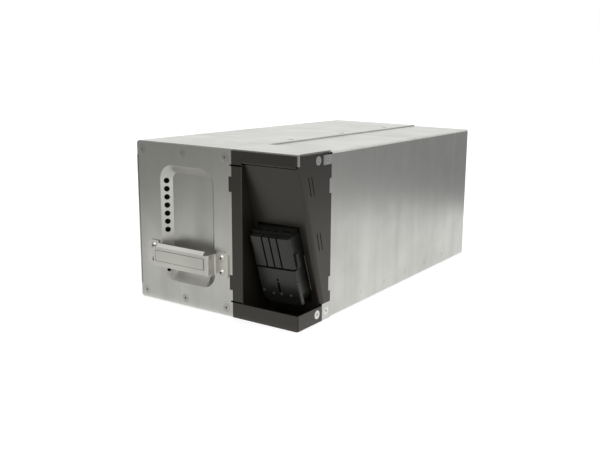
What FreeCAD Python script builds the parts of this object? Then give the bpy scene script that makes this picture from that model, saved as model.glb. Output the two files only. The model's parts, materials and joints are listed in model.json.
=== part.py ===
"""Battery cartridge for an uninterruptible power supply.

A folded steel case slides into the supply with eight sealed lead-acid blocks in it.
The front has a pressed hand recess with a folded handle on the left, and on the right
a black folded bay with a leaning wall that carries the battery connector.

Every sub-part is drawn in the case's corner frame: x from the case's left side, y from
the front plate's face backwards, z up from the underside. One placement then carries
each of them to the origin, which is the middle of the underside. Millimetres throughout.
"""
import FreeCAD, Part
import Sketcher
import math
import os
import re

os.makedirs("parts", exist_ok=True)
doc = FreeCAD.newDocument("ups_battery_cartridge")

# ---------------------------------------------------------------- driving sizes
SIZES = {
    # case of galvanised sheet
    "case_width": 190,
    "case_height": 155,
    "case_depth": 355,
    "case_gauge": 1.2,
    "lap_gap": 0.1,
    "case_bend": 2.2,
    "bay_width": 72.5,
    "seam_lap": 14,
    "joggle_run": 2.5,
    "flange_reach": 11,
    "seam_gap": 0.6,
    "tongue_lap": 1.6,
    "tongue_inset": 2.3,
    # front and rear plates and their screws
    "plate_gauge": 1.5,
    "plate_margin": 0.5,
    "plate_notch": 1.4,
    "notch_inset": 13,
    "plate_screw_inset": 7.8,
    "screw_head": 8,
    "screw_shank": 4,
    "screw_length": 7,
    "rear_screw_length": 4,
    "screw_drive": 3,
    "screw_drive_depth": 1.1,
    "screw_clearance": 0.1,
    # pressed hand recess
    "recess_left": 30,
    "recess_side_margin": 21,
    "recess_low": 22.5,
    "recess_top_margin": 20.5,
    "recess_depth": 8,
    "recess_draft": 8.5,
    "recess_corner": 15,
    "vent_diameter": 5.4,
    "vent_pitch": 7.9,
    "vent_count": 7,
    "vent_from_top": 16,
    "drain_diameter": 3.4,
    # folded handle
    "handle_overhang": 2.5,
    "handle_gauge": 1.5,
    "handle_stand": 12,
    "handle_low": 38.3,
    "handle_height": 18.7,
    "handle_bend": 3,
    "foot_reach": 15.5,
    "foot_extra": 3,
    "foot_corner": 4,
    "lip_run": 2.2,
    "lip_rise": 3.2,
    "lip_inset": 5,
    "under_lip": 4.5,
    "grip_panel_inset": 4.5,
    "grip_panel_height": 10,
    "grip_panel_proud": 0.3,
    "rivet_head": 6.6,
    "rivet_crown": 1.5,
    "rivet_shank": 3.2,
    "rivet_flat": 4.6,
    "rivet_hole": 2,
    "rivet_hollow": 0.6,
    "rivet_pitch": 13.6,
    "rivet_inset": 7.4,
    # black connector bay
    "bay_gauge": 1.2,
    "bay_flange": 11.4,
    "lintel_drop": 12.4,
    "roof_drop": 1.3,
    "lintel_return": 2.8,
    "lintel_bend": 1.8,
    "lintel_tab_rise": 2.4,
    "bay_slot": 1.5,
    "slot_reach": 2,
    "tray_lip": 14.2,
    "bay_tab_reach": 3,
    "bay_tab_height": 13.5,
    "bay_tab_low": 26,
    "bay_tab_drop": 38.2,
    "ear_front": 38.4,
    "ear_height": 8.7,
    "bay_depth": 51.4,
    "edge_gap": 0.25,
    "panel_lap": 11,
    "wall_drop": 13,
    "wall_start": 3,
    "wall_foot": 41.34,
    "wall_bend": 4.5,
    "slit_width": 1.1,
    "slit_length": 17.5,
    "slit_pitch": 4.8,
    "slit_behind": 9.5,
    "slit_drop": 16,
    "slit_spacing": 51,
    "bay_screw_depth": 30.5,
    "ear_screw_depth": 45,
    "side_screw_height": 7.9,
    "side_screw_drop": 7.5,
    # battery connector
    "plug_offset": 2.75,
    "plug_height": 55,
    "plug_roll": 2.6,
    "plug_width": 43.4,
    "plug_body_height": 36,
    "plug_tower_height": 29,
    "plug_collar": 4,
    "window_gap": 2.5,
    "plug_proud": 15,
    "plug_behind": 11,
    "plug_corner": 9,
    "tower_gap": 1.8,
    "tower_relief": 4,
    "tower_web": 2.4,
    "tower_bend": 1.5,
    "key_block": 1.8,
    "key_slot": 2.4,
    "small_tower": 6.5,
    "waist_height": 2,
    "socket_depth": 26,
    "socket_thickness": 3.4,
    "socket_wall": 1.6,
    "cutout_gap": 2,
    "bracket_border": 1.5,
    "plug_flange": 3,
    "plug_ear": 6.5,
    "plug_screw": 3,
    "contact_gap": 0.3,
    "contact_tail": 5,
    # sealed blocks and their packing
    "block_headroom": 2.4,
    "block_seam_gap": 4.8,
    "block_tab_gap": 4.7,
    "block_lid": 6,
    "block_groove": 0.6,
    "tab_height": 5,
    "tab_width": 6.3,
    "tab_gauge": 0.8,
    "tab_inset": 14,
    "pad_gauge": 1.6,
    "rest_gap": 0.1,
    "block_start": 12.5,
    "back_block_behind": 5.6,
    "end_pad_gauge": 8.6,
    "back_pad_gauge": 2,
    "pad_inset": 2,
    "back_block_gap": 6.5,
    "liner_gauge": 0.8,
    # small marks on the case
    "seam_screw_head": 6,
    "seam_screw_shank": 3,
    "seam_screw_length": 5,
    "seam_screw_inset": 9.5,
    "seam_screw_start": 102.5,
    "seam_screw_pitch": 95,
    "dimple_diameter": 4.5,
    "dimple_depth": 0.25,
    "dimple_start": 106,
    "dimple_pitch": 46.5,
    "dimple_count": 5,
    "dimple_height": 10.3,
    "corner_relief": 3,
}

LEFT_BLOCKS = 5
RIGHT_BLOCKS = 3

# Places and sizes worked out from the ones above, used by name like them.
DERIVED = {
    "left_width": "(case_width-bay_width)",
    "recess_width": "(left_width-recess_left-recess_side_margin)",
    "recess_height": "(case_height-recess_low-recess_top_margin)",
    "handle_span": "(recess_width+handle_overhang)",
    "wall_lean": "((wall_foot-wall_start)/wall_top)",
    "bay_lintel_low": "(case_height-lintel_drop)",
    "bay_lintel_high": "(case_height-roof_drop)",
    "bay_tab_high": "(case_height-bay_tab_drop)",
    "wall_top": "(case_height-wall_drop)",
    "slit_upper": "(wall_top-slit_drop)",
    "slit_lower": "(slit_upper-slit_spacing)",
    "plug_across": "((left_width+case_width)/2+plug_offset)",
    "plug_high": "(plug_tower_height+plug_collar+window_gap)",
    "plug_low": "(-plug_body_height-waist_height-window_gap)",
    "side_screw_rise": "(case_height-side_screw_drop-side_screw_height)",
    "block_tall": "(case_height-2*case_gauge-block_headroom)",
    "back_block_start": "(bay_depth+back_block_behind)",
    "left_block_side": "(case_gauge+2*rest_gap+pad_gauge/4)",
    "block_room": "(case_depth-2*case_gauge-lap_gap)",
    "left_block_step": "((block_room-end_pad_gauge+pad_gauge-block_start)/%d)" % LEFT_BLOCKS,
    "right_block_step":
        "((block_room-back_pad_gauge+back_block_gap-back_block_start)/%d)" % RIGHT_BLOCKS,
    "right_block_side": "(case_width-case_gauge-bay_gauge-3*rest_gap)",
    "block_thick": "min(left_block_step-pad_gauge;right_block_side-left_width-block_seam_gap)",
    "seam_column": "(left_width-seam_screw_inset)",
    "tab_limit": "(seam_column-seam_screw_head/2-block_tab_gap)",
    "block_deep": "min(right_block_step-back_block_gap;tab_limit-tab_height-left_block_side)",
    "block_floor": "(case_gauge+rest_gap)",
}

sheet = doc.addObject("Spreadsheet::Sheet", "sizes")
for row, (alias, number) in enumerate(SIZES.items(), start=1):
    sheet.set("A%d" % row, alias.replace("_", " "))
    sheet.set("B%d" % row, str(number))
    sheet.setAlias("B%d" % row, alias)
doc.recompute()


def formula(text):
    """An expression for the document: each size's name points at its cell."""
    def point(match):
        word = match.group()
        if word in DERIVED:
            return formula(DERIVED[word])
        return "sizes." + word if word in SIZES else word
    return re.sub(r"[a-z][a-z_0-9]*", point, text)


worked_out = doc.addObject("App::VarSet", "worked_out")
for alias, text in DERIVED.items():
    worked_out.addProperty("App::PropertyFloat", alias, "Places")
    worked_out.setExpression(alias, formula(text))
doc.recompute()


def mm(name):
    """The number behind a size of the sheet or behind a worked-out one."""
    return float(sheet.get(name)) if name in SIZES else getattr(worked_out, name)


# ---------------------------------------------------------------- drawing helpers
# How a feature that grows towards +x, +y or +z is turned on each origin plane.
PAD_REVERSED = {"XY_Plane": False, "XZ_Plane": True, "YZ_Plane": False}
POCKET_REVERSED = {"XY_Plane": True, "XZ_Plane": False, "YZ_Plane": True}


def new_body(label):
    """A body drawn in the corner frame and carried to the model's origin."""
    body = doc.addObject("PartDesign::Body", label)
    body.Label = label
    body.setExpression("Placement.Base.x", formula("-case_width/2"))
    body.setExpression("Placement.Base.y", formula("-case_depth/2"))
    return body


def origin_of(body, role):
    """The body's own origin plane or axis with this role."""
    return [item for item in body.Origin.OriginFeatures if item.Role == role][0]


def sketch_on(body, name, plane, at="0"):
    """A sketch on one of the body's origin planes, moved to the given station."""
    sketch = body.newObject("Sketcher::SketchObject", name)
    sketch.AttachmentSupport = [(origin_of(body, plane), "")]
    sketch.MapMode = "FlatFace"
    offset = "-(%s)" % at if plane == "XZ_Plane" else at
    sketch.setExpression("AttachmentOffset.Base.z", formula(offset))
    return sketch


def dimension(sketch, kind, *where_and_text):
    """A sketch constraint whose value follows an expression."""
    where, text = where_and_text[:-1], where_and_text[-1]
    index = sketch.addConstraint(Sketcher.Constraint(kind, *where, 1.0))
    sketch.setExpression("Constraints[%d]" % index, formula(text))


def fix_point(sketch, geometry, point, across, up):
    """Ties one point of the sketch to two expressions."""
    dimension(sketch, "DistanceX", -1, 1, geometry, point, across)
    dimension(sketch, "DistanceY", -1, 1, geometry, point, up)


ROUGH_REACH = 50  # where a loop's corners stand before its dimensions move them
ROUGH_BEND = 10


def add_loop(sketch, corners):
    """A closed outline of straight lines through corners given as expressions."""
    first = sketch.GeometryCount
    count = len(corners)
    turns = [2 * math.pi * step / count for step in range(count)]
    ring = [FreeCAD.Vector(math.cos(turn), math.sin(turn), 0) * ROUGH_REACH for turn in turns]
    for step in range(count):
        sketch.addGeometry(Part.LineSegment(ring[step], ring[(step + 1) % count]), False)
    for step in range(count):
        following = first + (step + 1) % count
        sketch.addConstraint(Sketcher.Constraint("Coincident", first + step, 2, following, 1))
    for step, (across, up) in enumerate(corners):
        fix_point(sketch, first + step, 1, across, up)


def box_loop(left, right, low, high):
    """The four corners of a rectangle."""
    return [(left, low), (right, low), (right, high), (left, high)]


def add_round_box(sketch, left, right, low, high, radius):
    """A rectangle whose corners are tangent arcs of one radius."""
    first = sketch.GeometryCount
    middle = ROUGH_REACH - ROUGH_BEND
    middles = [(1, -1), (1, 1), (-1, 1), (-1, -1)]
    for step, (side, level) in enumerate(middles):
        centre = FreeCAD.Vector(side * middle, level * middle, 0)
        start = math.pi / 2 * (step - 1)
        circle = Part.Circle(centre, FreeCAD.Vector(0, 0, 1), ROUGH_BEND)
        sketch.addGeometry(Part.ArcOfCircle(circle, start, start + math.pi / 2), False)
    for step in range(4):
        here, there = first + step, first + (step + 1) % 4
        start = sketch.Geometry[here].EndPoint
        end = sketch.Geometry[there].StartPoint
        sketch.addGeometry(Part.LineSegment(start, end), False)
    for step in range(4):
        line = first + 4 + step
        sketch.addConstraint(Sketcher.Constraint("Tangent", first + step, 2, line, 1))
        sketch.addConstraint(Sketcher.Constraint("Tangent", line, 2, first + (step + 1) % 4, 1))
        sketch.addConstraint(Sketcher.Constraint("Vertical" if step % 2 == 0 else "Horizontal", line))
    for step in range(1, 4):
        sketch.addConstraint(Sketcher.Constraint("Equal", first, first + step))
    dimension(sketch, "Radius", first, radius)
    dimension(sketch, "DistanceX", -1, 1, first + 4, 1, right)
    dimension(sketch, "DistanceY", -1, 1, first + 5, 1, high)
    dimension(sketch, "DistanceX", -1, 1, first + 6, 1, left)
    dimension(sketch, "DistanceY", -1, 1, first + 7, 1, low)


def add_circle(sketch, across, up, diameter):
    """A circle whose centre and diameter follow expressions."""
    circle = Part.Circle(FreeCAD.Vector(10, 10, 0), FreeCAD.Vector(0, 0, 1), 2)
    index = sketch.addGeometry(circle, False)
    fix_point(sketch, index, 3, across, up)
    dimension(sketch, "Diameter", index, diameter)


def draw(sketch, shapes):
    """Adds loops, or circles given as three expressions, to a sketch."""
    for shape in shapes:
        if isinstance(shape, list):
            add_loop(sketch, shape)
        elif len(shape) == 3:
            add_circle(sketch, *shape)
        else:
            add_round_box(sketch, *shape)


def slab(body, name, plane, at, thickness, shapes, taper=None):
    """Adds material from a station towards the positive axis."""
    sketch = sketch_on(body, name + "_outline", plane, at)
    draw(sketch, shapes)
    pad = body.newObject("PartDesign::Pad", name)
    pad.Profile = sketch
    pad.Reversed = PAD_REVERSED[plane]
    pad.setExpression("Length", formula(thickness))
    if taper:
        pad.setExpression("TaperAngle", formula(taper))
    body.Tip = pad
    doc.recompute()
    return pad


def cut(body, name, plane, at, depth, shapes, taper=None):
    """Removes material from a station towards the positive axis."""
    before = body.Shape.Volume
    sketch = sketch_on(body, name + "_outline", plane, at)
    draw(sketch, shapes)
    pocket = body.newObject("PartDesign::Pocket", name)
    pocket.Profile = sketch
    pocket.Reversed = POCKET_REVERSED[plane]
    pocket.setExpression("Length", formula(depth))
    if taper:
        pocket.setExpression("TaperAngle", formula(taper))
    body.Tip = pocket
    doc.recompute()
    if body.Shape.Volume > before - 1e-6:
        raise RuntimeError("%s of %s cuts nothing" % (name, body.Label))
    return pocket


def straight_edges(shape, along, shortest=0.5, **fixed):
    """Names of the straight edges along an axis that lie at the given coordinates."""
    names = []
    for index, edge in enumerate(shape.Edges, start=1):
        ends = [vertex.Point for vertex in edge.Vertexes]
        if len(ends) != 2:
            continue
        span = ends[1] - ends[0]
        others = [getattr(span, axis) for axis in "xyz" if axis != along]
        if max(abs(other) for other in others) > 1e-4 or span.Length < shortest:
            continue
        if all(abs(getattr(ends[0], axis) - value) < 0.02 for axis, value in fixed.items()):
            names.append("Edge%d" % index)
    return names


def fold(body, name, radius, *picks):
    """Rounds the picked straight edges, as a press brake's tool does."""
    base = body.Tip
    names = []
    for along, fixed in picks:
        found = straight_edges(base.Shape, along, **fixed)
        if not found:
            raise RuntimeError("%s of %s finds no edge at %s" % (name, body.Label, fixed))
        names += found
    fillet = body.newObject("PartDesign::Fillet", name)
    fillet.Base = (base, names)
    fillet.setExpression("Radius", formula(radius))
    body.Tip = fillet
    doc.recompute()
    return fillet


def turned(label, profile, turn=None, at=("0", "0", "0"), grid=None, drive=False):
    """Identical turned fasteners: one profile about the local z axis, copied on a grid.

    The head's seat is at z = 0 and the shank runs towards negative z. grid gives, for the
    local x and y axes, the count and the spacing expression.
    """
    body = new_body(label)
    sketch = sketch_on(body, "profile", "XZ_Plane")
    add_loop(sketch, profile)
    solid = body.newObject("PartDesign::Revolution", "turned")
    solid.Profile = sketch
    solid.ReferenceAxis = (sketch, ["V_Axis"])
    solid.Angle = 360
    body.Tip = solid
    doc.recompute()
    features = [solid]
    if drive:
        depth = "screw_drive_depth"
        features.append(cut(body, "drive", "XY_Plane", "-" + depth, depth, [cross_drive()]))
    if grid:
        pattern = body.newObject("PartDesign::MultiTransform", "grid")
        pattern.Originals = features
        rows = []
        for axis, (count, spacing) in zip(("X_Axis", "Y_Axis"), grid):
            if count < 2:
                continue
            row = body.newObject("PartDesign::LinearPattern", "along_" + axis[0].lower())
            row.Direction = (origin_of(body, axis), [""])
            row.setExpression("Length", formula("(%s)*%d" % (spacing, count - 1)))
            row.Occurrences = count
            rows.append(row)
        pattern.Transformations = rows
        body.Tip = pattern
        doc.recompute()
    place(body, at, turn)
    return body


def place(body, at, turn=None):
    """Puts a body that has its own local frame at a point of the corner frame."""
    if turn:
        body.Placement.Rotation = turn
    body.setExpression("Placement.Base.x", formula("%s-case_width/2" % at[0]))
    body.setExpression("Placement.Base.y", formula("%s-case_depth/2" % at[1]))
    body.setExpression("Placement.Base.z", formula(at[2]))
    doc.recompute()


# Turns that point a fastener's head to the front, the right side, the back, up or down.
TO_FRONT = FreeCAD.Rotation(FreeCAD.Vector(1, 0, 0), FreeCAD.Vector(0, 0, 1), FreeCAD.Vector(0, -1, 0))
TO_RIGHT = FreeCAD.Rotation(FreeCAD.Vector(0, 1, 0), FreeCAD.Vector(0, 0, 1), FreeCAD.Vector(1, 0, 0))
TO_BACK = FreeCAD.Rotation(FreeCAD.Vector(-1, 0, 0), FreeCAD.Vector(0, 0, 1), FreeCAD.Vector(0, 1, 0))


def countersunk(head, shank, length):
    """Half profile of a countersunk screw."""
    return [
        ("0", "0"),
        ("%s/2" % head, "0"),
        ("%s/2" % shank, "-(%s-%s)/2" % (head, shank)),
        ("%s/2" % shank, "-(%s)" % length),
        ("0", "-(%s)" % length),
    ]


def cross_drive():
    """Outline of a cross recess about the middle of a screw's head."""
    arm, wide = "screw_drive/2", "screw_drive/8"
    corners = []
    for across, up in ((1, 1), (-1, 1), (-1, -1), (1, -1)):
        outward = [(arm, wide), (wide, wide), (wide, arm)]
        if across * up < 0:
            outward.reverse()
        corners += [("%d*%s" % (across, x), "%d*%s" % (up, y)) for x, y in outward]
    return corners


# ---------------------------------------------------------------- shared places
WALL_FRONT = "(plate_gauge+lap_gap)"
WALL_REAR = "(case_depth-case_gauge-lap_gap)"
TOP_LOW = "(case_height-case_gauge-lap_gap)"
COLUMNS = [
    "plate_screw_inset",
    "(plate_screw_inset+(left_width-2*plate_screw_inset)/2)",
    "(left_width-plate_screw_inset)",
]
ROWS = ["plate_screw_inset", "(case_height-plate_screw_inset)"]
SIDE_ROWS = ["side_screw_height", "(side_screw_height+side_screw_rise)"]
SEAM_STATIONS = ["seam_screw_start+%d*seam_screw_pitch" % step for step in range(3)]
REAR_COLUMNS = ["plate_screw_inset", "(case_width-plate_screw_inset)"]


def behind(gauge, head="screw_head", shank="screw_shank"):
    """Bore behind a sheet of this gauge: it clears what is left of the screw's cone."""
    return "max(%s-2*%s;%s)+2*screw_clearance" % (head, gauge, shank)


def wall_depth(height):
    """Depth of the leaning wall's front face at a height."""
    return "(wall_start+(wall_top-(%s))*wall_lean)" % height


# ---------------------------------------------------------------- case
def case_wrap_left():
    """Left wall, most of the top and of the bottom: one folded sheet, with a tongue over the bay."""
    body = new_body("case_wrap_left")
    channel = [
        ("left_width", "0"),
        ("0", "0"),
        ("0", "case_height"),
        ("left_width", "case_height"),
        ("left_width", "case_height-case_gauge"),
        ("case_gauge", "case_height-case_gauge"),
        ("case_gauge", "case_gauge"),
        ("left_width", "case_gauge"),
    ]
    slab(body, "channel", "XZ_Plane", WALL_FRONT, "%s-%s" % (WALL_REAR, WALL_FRONT), [channel])
    low, high, gauge = 0, mm("case_height"), mm("case_gauge")
    fold(body, "outer_bends", "case_bend", ("y", {"x": 0, "z": low}), ("y", {"x": 0, "z": high}))
    fold(body, "inner_bends", "case_bend-case_gauge",
         ("y", {"x": gauge, "z": low + gauge}), ("y", {"x": gauge, "z": high - gauge}))
    reach = "flange_reach"
    frame = [
        ("left_width-seam_gap", "case_gauge/2"),
        ("case_gauge/2", "case_gauge/2"),
        ("case_gauge/2", "case_height-case_gauge/2"),
        ("left_width-seam_gap", "case_height-case_gauge/2"),
        ("left_width-seam_gap", "case_height-case_gauge-" + reach),
        ("case_gauge+" + reach, "case_height-case_gauge-" + reach),
        ("case_gauge+" + reach, "case_gauge+" + reach),
        ("left_width-seam_gap", "case_gauge+" + reach),
    ]
    slab(body, "front_flanges", "XZ_Plane", WALL_FRONT, "case_gauge", [frame])
    slab(body, "rear_flanges", "XZ_Plane", WALL_REAR + "-case_gauge", "case_gauge", [frame])
    tongue = box_loop("0", "lap_gap+plate_gauge", "notch_inset+plate_margin",
                      "case_height-notch_inset-plate_margin")
    slab(body, "side_tongue", "YZ_Plane", "0", "case_gauge", [tongue])
    over_bay = box_loop("left_width-1", "case_width-tongue_inset", WALL_FRONT, "bay_depth+tongue_lap")
    slab(body, "tongue_over_bay", "XY_Plane", "case_height-case_gauge", "case_gauge", [over_bay])
    corner_tab = box_loop("case_width-wall_bend", "case_width-edge_gap",
                          "bay_lintel_low+lintel_tab_rise", "case_height")
    slab(body, "corner_tab", "XZ_Plane", WALL_FRONT, "case_gauge", [corner_tab])
    holes = [(column, row) for column in COLUMNS for row in ROWS]
    cut(body, "front_screw_bores", "XZ_Plane", WALL_FRONT, "case_gauge",
        [(across, up, behind("plate_gauge")) for across, up in holes])
    cut(body, "rear_screw_bores", "XZ_Plane", WALL_REAR + "-case_gauge", "case_gauge",
        [(across, row, behind("case_gauge")) for across in REAR_COLUMNS[:1] for row in ROWS])
    seats = [("seam_column", station) for station in SEAM_STATIONS]
    cut(body, "seam_screw_seats", "XY_Plane", "case_height-case_gauge", "case_gauge",
        [(across, back, "seam_screw_head-2*case_gauge+2*screw_clearance") for across, back in seats],
        taper="45")
    return body


def case_wrap_right():
    """Right wall and the rest of the top and bottom, lapped under the left sheet."""
    body = new_body("case_wrap_right")
    seam = "(left_width+seam_gap)"
    channel = [
        ("case_width", "0"),
        ("case_width", TOP_LOW),
        ("left_width-seam_lap", TOP_LOW),
        ("left_width-seam_lap", TOP_LOW + "-case_gauge"),
        ("case_width-case_gauge", TOP_LOW + "-case_gauge"),
        ("case_width-case_gauge", "case_gauge"),
        (seam + "+joggle_run", "case_gauge"),
        (seam, "2*case_gauge+lap_gap"),
        ("left_width-seam_lap", "2*case_gauge+lap_gap"),
        ("left_width-seam_lap", "case_gauge+lap_gap"),
        (seam, "case_gauge+lap_gap"),
        (seam + "+joggle_run", "0"),
    ]
    slab(body, "channel", "XZ_Plane", "bay_depth", WALL_REAR + "-bay_depth", [channel])
    right, gauge = mm("case_width"), mm("case_gauge")
    top = mm("case_height") - gauge - mm("lap_gap")
    fold(body, "outer_bends", "case_bend", ("y", {"x": right, "z": 0}), ("y", {"x": right, "z": top}))
    fold(body, "inner_bends", "case_bend-case_gauge",
         ("y", {"x": right - gauge, "z": gauge}), ("y", {"x": right - gauge, "z": top - gauge}))
    ears = [
        box_loop("ear_front", "bay_depth", TOP_LOW + "-case_bend-ear_height", TOP_LOW + "-case_bend"),
        box_loop("ear_front", "bay_depth", "0", "tray_lip+bay_slot"),
    ]
    slab(body, "ears", "YZ_Plane", "case_width-case_gauge", "case_gauge", ears)
    tabs = [
        box_loop("bay_depth-bay_tab_reach", "bay_depth", low, low + "+bay_tab_height")
        for low in ("bay_tab_low", "bay_tab_high")
    ]
    slab(body, "panel_tabs", "YZ_Plane", "case_width-case_gauge", "case_gauge", tabs)
    reach = "flange_reach"
    frame = [
        (seam + "+joggle_run", "case_gauge/2"),
        ("case_width-case_gauge/2", "case_gauge/2"),
        ("case_width-case_gauge/2", TOP_LOW + "-case_gauge/2"),
        (seam, TOP_LOW + "-case_gauge/2"),
        (seam, TOP_LOW + "-case_gauge-" + reach),
        ("case_width-case_gauge-" + reach, TOP_LOW + "-case_gauge-" + reach),
        ("case_width-case_gauge-" + reach, "case_gauge+" + reach),
        (seam + "+joggle_run", "case_gauge+" + reach),
    ]
    slab(body, "rear_flanges", "XZ_Plane", WALL_REAR + "-case_gauge", "case_gauge", [frame])
    notch = box_loop("bay_depth-corner_relief/2", "bay_depth+corner_relief/2",
                     TOP_LOW + "-case_bend", TOP_LOW)
    cut(body, "roof_relief", "YZ_Plane", "case_width-corner_relief", "corner_relief", [notch])
    lap_end = box_loop("left_width-seam_lap-1", seam, "0", "case_height")
    cut(body, "lap_trim", "XZ_Plane", WALL_REAR + "-case_gauge-lap_gap", "case_gauge+2*lap_gap", [lap_end])
    cut(body, "rear_screw_bores", "XZ_Plane", WALL_REAR + "-case_gauge", "case_gauge",
        [(REAR_COLUMNS[1], row, behind("case_gauge")) for row in ROWS])
    seats = [("seam_column", station) for station in SEAM_STATIONS]
    bore = behind("case_gauge", "seam_screw_head", "seam_screw_shank")
    cut(body, "seam_screw_bores", "XY_Plane", TOP_LOW + "-case_gauge", "case_gauge",
        [(across, back, bore) for across, back in seats])
    spots = [("dimple_start+%d*dimple_pitch" % step, "dimple_height", "dimple_diameter")
             for step in range(int(mm("dimple_count")))]
    cut(body, "spot_dimples", "YZ_Plane", "case_width-dimple_depth", "dimple_depth", spots)
    cut(body, "ear_screw_seats", "YZ_Plane", "case_width-case_gauge", "case_gauge",
        [("ear_screw_depth", row, behind("case_gauge")) for row in SIDE_ROWS], taper="45")
    return body


def front_plate():
    """Plate over the battery side, with the hand recess and its vents pressed into it."""
    body = new_body("plate_blank")
    low, high = "plate_margin", "(case_height-plate_margin)"
    right = "(left_width-lap_gap)"
    outline = [
        ("plate_margin", low),
        (right, low),
        (right, high),
        ("plate_margin", high),
        ("plate_margin", high + "-notch_inset"),
        ("plate_margin+plate_notch", high + "-notch_inset"),
        ("plate_margin+plate_notch", low + "+notch_inset"),
        ("plate_margin", low + "+notch_inset"),
    ]
    slab(body, "plate", "XZ_Plane", "0", "plate_gauge", [outline])
    x_left, z_low = mm("plate_margin"), mm("plate_margin")
    z_high = mm("case_height") - mm("plate_margin")
    fold(body, "outer_corners", "case_bend",
         ("y", {"x": x_left, "z": z_low}), ("y", {"x": x_left, "z": z_high}))
    spread = "plate_gauge*sqrt(recess_depth^2+recess_draft^2)/recess_depth"
    draft = "atan(recess_draft/recess_depth)"
    inner = ("recess_left", "recess_left+recess_width", "recess_low", "recess_low+recess_height",
             "recess_corner")
    outer = ("recess_left-" + spread, "recess_left+recess_width+" + spread, "recess_low-" + spread,
             "recess_low+recess_height+" + spread, "recess_corner+" + spread)
    slab(body, "recess_back", "XZ_Plane", "0", "recess_depth+plate_gauge", [outer], taper="-" + draft)
    cut(body, "recess", "XZ_Plane", "0", "recess_depth", [inner], taper="-" + draft)
    vents = vent_tools()
    holes = [(across, up, "screw_head+2*screw_clearance") for across in COLUMNS for up in ROWS]
    cut(body, "screw_seats", "XZ_Plane", "0", "plate_gauge", holes, taper="-45")
    tabs = [
        box_loop(right + "-bay_tab_reach-edge_gap", right + "+1", level + "-edge_gap",
                 level + "+bay_tab_height+edge_gap")
        for level in ("bay_tab_low", "bay_tab_high")
    ]
    slots = [
        box_loop(right + "-slot_reach", right + "+1", level, level + "+bay_slot")
        for level in ("tray_lip", "bay_lintel_low-bay_slot-bay_gauge")
    ]
    cut(body, "tab_notches", "XZ_Plane", "0", "plate_gauge", tabs + slots)
    bores = [(across, up, "rivet_shank+screw_clearance") for across in RIVET_COLUMNS for up in RIVET_ROWS]
    cut(body, "rivet_bores", "XZ_Plane", "0", "plate_gauge+recess_depth", bores)
    drilled = doc.addObject("Part::Cut", "front_plate")
    drilled.Base = body
    drilled.Tool = vents
    doc.recompute()
    return drilled


def vent_tools():
    """Round punches square to the recess's sloping left wall, and one drain punch."""
    punches = []
    lean = math.degrees(math.atan2(mm("recess_depth"), mm("recess_draft")))
    turn = FreeCAD.Rotation(FreeCAD.Vector(0, 1, 0), 0)
    across = "recess_left+recess_draft/2-case_width/2"
    for step in range(int(mm("vent_count"))):
        level = "recess_low+recess_height-vent_from_top-%d*vent_pitch" % step
        punches.append((across, level, "vent_diameter"))
    punches.append((across, "recess_low+recess_corner*0.6", "drain_diameter"))
    tools = []
    for index, (side, level, diameter) in enumerate(punches, start=1):
        punch = doc.addObject("Part::Cylinder", "vent_punch_%d" % index)
        punch.setExpression("Radius", formula("%s/2" % diameter))
        punch.setExpression("Height", formula("4*plate_gauge"))
        axis = FreeCAD.Vector(-math.sin(math.radians(lean)), math.cos(math.radians(lean)), 0)
        punch.Placement.Rotation = FreeCAD.Rotation(FreeCAD.Vector(0, 0, 1), axis)
        back = "2*plate_gauge"
        run = "recess_depth/sqrt(recess_depth^2+recess_draft^2)"
        rise = "recess_draft/sqrt(recess_depth^2+recess_draft^2)"
        punch.setExpression("Placement.Base.x", formula("%s+%s*%s" % (side, back, run)))
        punch.setExpression("Placement.Base.y", formula("recess_depth/2-%s*%s-case_depth/2" % (back, rise)))
        punch.setExpression("Placement.Base.z", formula(level))
        tools.append(punch)
    group = doc.addObject("Part::Compound", "vent_punches")
    group.Links = tools
    doc.recompute()
    return group


def rear_panel():
    """Plain closing plate at the back."""
    body = new_body("rear_panel")
    outline = box_loop("plate_margin", "case_width-plate_margin", "plate_margin", TOP_LOW)
    slab(body, "plate", "XZ_Plane", "case_depth-case_gauge", "case_gauge", [outline])
    left, right = mm("plate_margin"), mm("case_width") - mm("plate_margin")
    low, high = mm("plate_margin"), mm("case_height") - mm("case_gauge") - mm("lap_gap")
    corners = [("y", {"x": side, "z": level}) for side in (left, right) for level in (low, high)]
    fold(body, "corners", "case_bend", *corners)
    cut(body, "screw_seats", "XZ_Plane", "case_depth-case_gauge", "case_gauge",
        [(across, up, behind("case_gauge")) for across in REAR_COLUMNS for up in ROWS], taper="45")
    return body


# ---------------------------------------------------------------- handle
HANDLE_LEFT = "(recess_left+recess_width/2-handle_span/2)"
HANDLE_RIGHT = "(recess_left+recess_width/2+handle_span/2)"
FOOT_LEFT = "(%s-foot_reach)" % HANDLE_LEFT
FOOT_RIGHT = "(%s+foot_reach)" % HANDLE_RIGHT
HANDLE_MIDDLE = "(handle_low+handle_height/2)"
RIVET_COLUMNS = ["(%s+rivet_inset)" % FOOT_LEFT, "(%s-rivet_inset)" % FOOT_RIGHT]
RIVET_ROWS = ["(%s-rivet_pitch/2)" % HANDLE_MIDDLE, "(%s+rivet_pitch/2)" % HANDLE_MIDDLE]


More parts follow.
